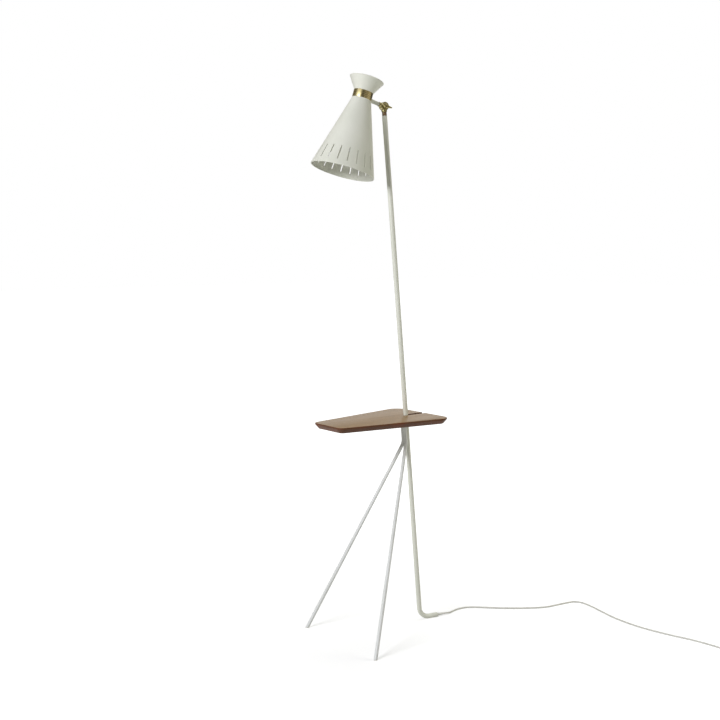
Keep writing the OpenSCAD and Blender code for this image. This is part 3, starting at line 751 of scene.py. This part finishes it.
def table_outline(draw, height):
    """The tabletop's outline at a height, drawn in by so much, with the slot for the pole."""
    axis = pole_y(TABLE_Z - TABLE_THICK / 2)
    back_x, front_x = TABLE_BACK_W / 2 - TABLE_BACK_R, TABLE_FRONT_W / 2 - TABLE_FRONT_R
    back_y, front_y = axis + TABLE_BACK - TABLE_BACK_R, axis + TABLE_FRONT_R - TABLE_FRONT
    front_left, front_right, back_right, back_left = hull_round([
        (-front_x, front_y, TABLE_FRONT_R - draw), (front_x, front_y, TABLE_FRONT_R - draw),
        (back_x, back_y, TABLE_BACK_R - draw), (-back_x, back_y, TABLE_BACK_R - draw)])
    half, edge = POLE_SLOT / 2, axis + TABLE_BACK - draw
    end = [(half * cos(a), pole_y(height) + half * sin(a)) for a in
           (-radians(180 * k / 16) for k in range(17))]
    slot = [(half, edge), *end, (-half, edge)]
    return [(x, y, height) for x, y in front_left + front_right + back_right + slot + back_left]


def tabletop():
    """Veneered top with a square band, a bevel under it and softly broken arrises."""
    low, band = TABLE_Z - TABLE_THICK, TABLE_Z - TABLE_BAND
    levels = [(TABLE_BEVEL + 0.6, low), (TABLE_BEVEL + 0.15, low + 0.15),
              (TABLE_BEVEL - 0.3, low + 0.5), (0.35, band - 0.4), (0.08, band), (0, band + 0.4),
              (0, TABLE_Z - 0.7), (0.2, TABLE_Z - 0.2), (0.7, TABLE_Z)]
    bm = lofted([table_outline(draw, z) for draw, z in levels])
    line = table_outline(0, TABLE_Z)
    run = [0.0]
    for a, b in zip(line, line[1:] + line[:1]):
        run.append(run[-1] + hypot(b[0] - a[0], b[1] - a[1]))
    edge = bm.loops.layers.uv.new("edge")
    bm.verts.index_update()
    count = len(line)
    bm.faces.ensure_lookup_table()
    for number, face in enumerate(bm.faces):
        is_cap = len(face.verts) > 4
        face.material_index = 0 if is_cap else 1
        for loop in face.loops:
            k = loop.vert.index % count
            along = run[k] if is_cap or k or number % count != count - 1 else run[-1]
            loop[edge].uv = (along / 1000, loop.vert.co.z / 1000)
    return settled(bm)


new_piece("walnut_tabletop", "base", tabletop(), FLOOR, [veneer, lipping], ["tabletop"], 30)


def countersunk_screw():
    """A table screw from below: a countersunk head with a cross recess, and its shank."""
    profile = [(0, -2.0), (3.1, -2.0), (3.35, -1.85), (3.45, -1.6), (1.75, -0.1), (1.75, 10.6),
               (0, 10.6)]
    head = settled(revolved(profile, 32, closed=False))
    bars = []
    for turn in (0, 90):
        bar = settled(lofted([[(-1.6, -0.35, z), (1.6, -0.35, z), (1.6, 0.35, z), (-1.6, 0.35, z)]
                              for z in (-2.04, -1.9)]))
        bar.transform(turned("Z", turn))
        bars.append(bar)
    return joined([head] + bars)


PLATE_LOW = TABLE_Z - TABLE_THICK - PLATE_THICK
screws = repeated(CORNERS, countersunk_screw(), {
    "Width": SCREW_SPREAD_X, "Length": SCREW_SPREAD_Y,
    "Centre": (0, pole_y(TABLE_Z - TABLE_THICK / 2) - SCREW_SHIFT, PLATE_LOW - 0.1),
    "Weld": 0.0005, "Finish": zinc})
new_piece("table_screws", "base", screws, FLOOR, [zinc],
          ["table_screw_1", "table_screw_2", "table_screw_3", "table_screw_4"])
eased_copy("table_plate", "table_plate_eased", "base", 0.5, paint)

# ---------- knuckle ----------

eased_copy("lower_knuckle", "lower_knuckle_cast", "swivel", 0.9, brass)
eased_copy("upper_knuckle", "upper_knuckle_cast", "head", 0.9, brass)


def wing_screw():
    """A cast wing screw: a round hub on a shank, and two wings that spread and thin outwards."""
    turned_part = settled(revolved(eased([
        (0, -6.4, 0), (2, -6.4, 0.3), (2, 8.4, 0), (4.5, 8.4, 0.3), (4.5, 13.3, 1.6), (0, 13.6, 0)],
        5, closed=False), 40, closed=False))
    turned_part.transform(turned("Y", 90))
    # radius from the axis, middle and half length along the axis, half width
    stations = [(1, 10.9, 2.2, 5.4), (4, 11.2, 2.3, 4.9), (7, 12, 2.6, 3.9), (10, 13, 3, 2.8),
                (12.5, 13.8, 3.1, 2), (14.5, 14.3, 2.5, 1.6), (15.6, 14.5, 1.6, 1.1),
                (16, 14.6, 0.7, 0.5)]
    parts = [turned_part]
    for side in (1, -1):
        rows = []
        for radius, middle, long, wide in stations:
            rows.append([(middle + long * cos(a), side * radius, wide * sin(a))
                         for a in (tau * k / 20 for k in range(20))])
        parts.append(settled(lofted(rows)))
    return joined(parts)


new_piece("wing_screw_cast", "wing", wing_screw(), AT_KNUCKLE @ turned("X", WING_TURN - LEAN),
          [brass], ["wing_screw"], 50)
eased_copy("wing_washer", "wing_washer_eased", "head", 0.2, brass)
eased_copy("pole_ferrule", "pole_ferrule_patinated", "base", 0.4, bronze)

# ---------- head ----------


def rolled_rim(r, z):
    """The bead that the sheet is rolled into at a rim."""
    return settled(revolved([(r - BEAD_R + (BEAD_R - 0.02) * cos(a), z + (BEAD_R - 0.02) * sin(a))
                             for a in (tau * k / 20 for k in range(20))], 160))


def shade_sector():
    """One slot's share of the cone, flat in (slant, angle) and then bent round the axis."""
    cone_top = RING_LOW - 0.1
    slant = hypot(MOUTH_R - CONE_TOP_R, MOUTH_Z - cone_top)
    half_turn = pi / SHADE_SLOTS
    half = SLOT_WIDTH / 2
    low, high = SLOT_MARGIN + half, SLOT_MARGIN + SLOT_LENGTH - half
    band_low, band_high = SLOT_MARGIN - 4, SLOT_MARGIN + SLOT_LENGTH + 4
    side_steps, cap_steps, rows = 12, 8, 7
    hole, frame_line = [], []
    for k in range(side_steps + 1):
        share = k / side_steps
        hole.append((low + (high - low) * share, half))
        frame_line.append((band_low + (band_high - band_low) * share, half_turn))
    for k in range(1, cap_steps):
        a = pi * k / cap_steps
        hole.append((high + half * sin(a), half * cos(a)))
        frame_line.append((band_high, half_turn * (1 - 2 * k / cap_steps)))
    for k in range(side_steps + 1):
        share = 1 - k / side_steps
        hole.append((low + (high - low) * share, -half))
        frame_line.append((band_low + (band_high - band_low) * share, -half_turn))
    for k in range(1, cap_steps):
        a = pi * k / cap_steps
        hole.append((low - half * sin(a), -half * cos(a)))
        frame_line.append((band_low, -half_turn * (1 - 2 * k / cap_steps)))
    bm = bmesh.new()

    def r_at(s):
        return MOUTH_R + (CONE_TOP_R - MOUTH_R) * s / slant

    def vert(s, angle):
        z = MOUTH_Z + (cone_top - MOUTH_Z) * s / slant
        return bm.verts.new((r_at(s) * cos(angle), r_at(s) * sin(angle), z))

    rings = []
    for j in range(rows + 1):
        share = (j / rows) ** 1.4
        rings.append([vert(h[0] + (f[0] - h[0]) * share,
                           h[1] / r_at(h[0]) + (f[1] - h[1] / r_at(h[0])) * share)
                      for h, f in zip(hole, frame_line)])
    count = len(hole)
    for a, b in zip(rings, rings[1:]):
        for k in range(count):
            bm.faces.new((a[k], b[k], b[(k + 1) % count], a[(k + 1) % count]))
    for start, stop, steps in ((0.0, band_low, 2), (band_high, slant, 30)):
        grid = [[vert(start + (stop - start) * i / steps, half_turn * (2 * k / cap_steps - 1))
                 for k in range(cap_steps + 1)] for i in range(steps + 1)]
        for a, b in zip(grid, grid[1:]):
            for k in range(cap_steps):
                bm.faces.new((a[k], a[k + 1], b[k + 1], b[k]))
    bmesh.ops.remove_doubles(bm, verts=bm.verts, dist=0.001)
    bmesh.ops.recalc_face_normals(bm, faces=bm.faces)
    if bm.faces[0].normal.dot(bm.faces[0].calc_center_median()) < 0:
        bmesh.ops.reverse_faces(bm, faces=bm.faces)
    mesh = bpy.data.meshes.new("sector")
    bm.to_mesh(mesh)
    bm.free()
    return mesh


SHEET_STEEL = ("SOLIDIFY", {"thickness": SHEET, "offset": -1.0, "use_even_offset": True})
cone = repeated(ROUND, shade_sector(), {
    "Copies": SHADE_SLOTS, "First angle": FIRST_SLOT * tau / SHADE_SLOTS, "Weld": 0.005,
    "Finish": paint}, [SHEET_STEEL])
cone_sleeve = settled(revolved([
    (SLEEVE_R - SHEET, CONE_SLEEVE_LOW), (SLEEVE_R, CONE_SLEEVE_LOW + SHEET),
    (SLEEVE_R, CONE_SLEEVE_HIGH), (SLEEVE_R - SHEET, CONE_SLEEVE_HIGH)], 120))
new_piece("shade_cone_sheet", "head", joined([cone, cone_sleeve, rolled_rim(MOUTH_R, MOUTH_Z)]),
          AT_HEAD, [paint], ["shade_cone"], 40)

RIM_Z = FLARE_Z - BEAD_R
FLARE_STEPS = 12
flare_foot = SLEEVE_R + 0.4
flare_inside = FLARE_START + 2.9
flare_profile = [(SLEEVE_R - SHEET, FLARE_SLEEVE_LOW), (SLEEVE_R, FLARE_SLEEVE_LOW),
                 (SLEEVE_R, FLARE_START), (flare_foot, FLARE_START)]
for k in range(1, FLARE_STEPS + 1):
    share = k / FLARE_STEPS
    flare_profile.append((flare_foot + (FLARE_R - SLEEVE_R - 0.45) * share,
                          FLARE_START + (RIM_Z - FLARE_START) * share))
for k in range(FLARE_STEPS, -1, -1):
    share = k / FLARE_STEPS
    flare_profile.append((SLEEVE_R - SHEET + (FLARE_R - SLEEVE_R) * share,
                          flare_inside + (RIM_Z - flare_inside) * share))
new_piece("shade_flare_sheet", "head",
          joined([settled(revolved(flare_profile, 160)), rolled_rim(FLARE_R, RIM_Z)]),
          AT_HEAD, [paint], ["shade_flare"], 40)

ring_profile = eased([(RING_R - RING_WALL, RING_LOW, 0.2), (RING_R, RING_LOW, 0.45),
                      (RING_R, RING_HIGH, 0.45), (RING_R - RING_WALL, RING_HIGH, 0.2)], 5)
new_piece("ring_brushed", "head", settled(revolved(ring_profile, 160)), AT_HEAD, [ring_brass],
          ["ring"])


def bulb_profile():
    """The glass: a neck that swells into a ball."""
    low_z = HOLDER_LOW - 0.1
    centre = low_z - BULB_DROP
    line = [(0, centre - BULB_R)]
    line += [(BULB_R * sin(a), centre - BULB_R * cos(a)) for a in
             (radians(d) for d in range(6, 127, 6))]
    x0, z0 = line[-1]
    steps = 8
    for k in range(1, steps + 1):
        t = k / steps
        line.append((x0 + (BULB_NECK_R - x0) * (1 - (1 - t) ** 2), z0 + (low_z - 8 - z0) * t))
    line += [(BULB_NECK_R, low_z - 2.4), (BULB_NECK_R - 0.6, low_z - 0.8),
             (BULB_NECK_R - 2, low_z), (0, low_z)]
    return line


new_piece("bulb_opal", "head", settled(revolved(bulb_profile(), 72, closed=False)), AT_HEAD,
          [opal], ["bulb_glass"])

holder_profile = eased([(r, HOLDER_LOW + z, rounding) for r, z, rounding in (
    (HOLDER_BORE_R, 0.1, 0.3), (HOLDER_R, 0.1, 0.6), (HOLDER_R, 2, 0), (HOLDER_COLLAR_R, 2, 0.5),
    (HOLDER_COLLAR_R, 6, 0.5), (HOLDER_R, 6, 0.3), (HOLDER_R, 26, 0.3), (HOLDER_COLLAR_R, 26, 0.5),
    (HOLDER_COLLAR_R, 32, 0.5), (HOLDER_R, 32, 0), (HOLDER_R, HOLDER_LENGTH - 0.1, 0.4),
    (HOLDER_BORE_R, HOLDER_LENGTH - 0.1, 0))], 3)
holder_rib = settled(lofted([[(15.2, -0.7, z), (16.3, -0.4, z), (16.3, 0.4, z), (15.2, 0.7, z)]
                             for z in (HOLDER_LOW + 7, HOLDER_LOW + 25)]))
holder_ribs = repeated(ROUND, holder_rib, {"Copies": 24, "First angle": 0.0, "Weld": 0.0005,
                                           "Finish": plastic})
new_piece("lamp_holder_ribbed", "head",
          joined([settled(revolved(holder_profile, 72)), holder_ribs]),
          AT_HEAD, [plastic], ["lamp_holder"])
for node in ("arm_nut", "holder_nut"):
    eased_copy(node, node + "_eased", "head", 0.3, zinc)
eased_copy("holder_cap", "holder_cap_eased", "head", 0.5, plastic)

# ---------- floor, cards and light ----------


def floor_finish():
    """Plain pale floor. The camera, metal and glass see it white, with the lamp's shadow on it."""
    material = bpy.data.materials.new("pale_floor")
    material.use_nodes = True
    tree = material.node_tree
    tree.nodes.clear()
    # white by its own glow far off, and by the lights near the feet, so that shadows show there
    away = add(tree, "ShaderNodeVectorMath", {"operation": "LENGTH"},
               {0: add(tree, "ShaderNodeTexCoord").outputs["Object"]}).outputs["Value"]
    glow = between(tree, away, 0.45, 1.0, 0.3, 2.0)
    plain = add(tree, "ShaderNodeBsdfDiffuse", inputs={"Color": colour("#CACAC4")}).outputs[0]
    pale = add(tree, "ShaderNodeBsdfDiffuse", inputs={"Color": colour("#F0F0F0")}).outputs[0]
    lift = add(tree, "ShaderNodeEmission", inputs={
        "Color": colour("#FFFFFF"), "Strength": glow}).outputs[0]
    pale = add(tree, "ShaderNodeAddShader", inputs={0: pale, 1: lift}).outputs[0]
    mixed = add(tree, "ShaderNodeMixShader", inputs={
        0: seen_rays(tree), 1: plain, 2: pale}).outputs[0]
    add(tree, "ShaderNodeOutputMaterial", inputs={"Surface": mixed})
    return material


def flat_floor(side):
    """A square floor round the lamp, with that side in metres."""
    half = side / 2
    mesh = bpy.data.meshes.new("floor")
    mesh.from_pydata([(-half, -half, 0), (half, -half, 0), (half, half, 0), (-half, half, 0)], [],
                     [(0, 1, 2, 3)])
    mesh.materials.append(floor_finish())
    floor = bpy.data.objects.new("floor", mesh)
    scene.collection.objects.link(floor)


flat_floor(40)

# dark cards stand round the lamp, as a photographer sets them, to give its brass dark bands
CARD_RADIUS, CARD_LOW, CARD_HIGH, CARD_STEPS = 3.6, 0.3, 5.2, 12


def dark_card(name, start, stop, level):
    """A curved card between two bearings in degrees, counted from the front towards the right."""
    material = bpy.data.materials.new(name)
    material.use_nodes = True
    tree = material.node_tree
    tree.nodes.clear()
    tone = add(tree, "ShaderNodeEmission", inputs={"Color": colour("#FFF4DE"), "Strength": level})
    add(tree, "ShaderNodeOutputMaterial", inputs={"Surface": tone.outputs[0]})
    line = [(CARD_RADIUS * sin(a), -CARD_RADIUS * cos(a)) for a in
            (radians(start + (stop - start) * k / CARD_STEPS) for k in range(CARD_STEPS + 1))]
    mesh = bpy.data.meshes.new(name)
    mesh.from_pydata([(x, y, z) for x, y in line for z in (CARD_LOW, CARD_HIGH)], [],
                     [(2 * k, 2 * k + 2, 2 * k + 3, 2 * k + 1) for k in range(CARD_STEPS)])
    mesh.materials.append(material)
    card = bpy.data.objects.new(name, mesh)
    scene.collection.objects.link(card)
    card.visible_camera = card.visible_diffuse = False
    card.visible_shadow = card.visible_transmission = False


dark_card("card_left", -106, -26, 0.2)
dark_card("card_front", 34, 70, 0.1)
dark_card("card_right", 70, 112, 0.3)
dark_card("card_far_right", 112, 156, 0.5)
dark_card("card_behind", 156, 208, 0.06)


def soft_light(name, spot, target, width, height, power, tone):
    """A soft rectangular light, its sizes in metres and its power in watts, aimed at a target."""
    lamp = bpy.data.lights.new(name, "AREA")
    lamp.shape = "RECTANGLE"
    lamp.size, lamp.size_y = width, height
    lamp.energy = power
    lamp.color = colour(tone)[:3]
    light = bpy.data.objects.new(name, lamp)
    light.location = spot
    light.rotation_euler = (Vector(target) - Vector(spot)).to_track_quat("-Z", "Y").to_euler()
    light.visible_camera = False
    scene.collection.objects.link(light)
    return light


# the key stands to the front, so that the shade throws its shadow on the pole behind it
soft_light("key", (0.75, -4.9, 2.46), (0, 0, 1.0), 2.1, 1.1, 208, "#FAFBFF")
soft_light("top", (-0.5, 0.8, 3.2), (0, 0, 0.6), 1.6, 1.6, 22, "#FFFFFA")
soft_light("fill", (2.0, 2.6, 1.6), (0, 0, 0.9), 2.0, 2.0, 42, "#FFFFF2").visible_glossy = False

world = bpy.data.worlds.new("white_surroundings")
scene.world = world
world.use_nodes = True
sky = world.node_tree
sky.nodes.clear()
# white to look at, and dim as a light, so that the lamps shape what stands in it
level = between(sky, seen_rays(sky), 0.13, 1.0)
air = add(sky, "ShaderNodeBackground", inputs={
    "Color": colour("#FFFFFF"), "Strength": level}).outputs[0]
add(sky, "ShaderNodeOutputWorld", inputs={"Surface": air})
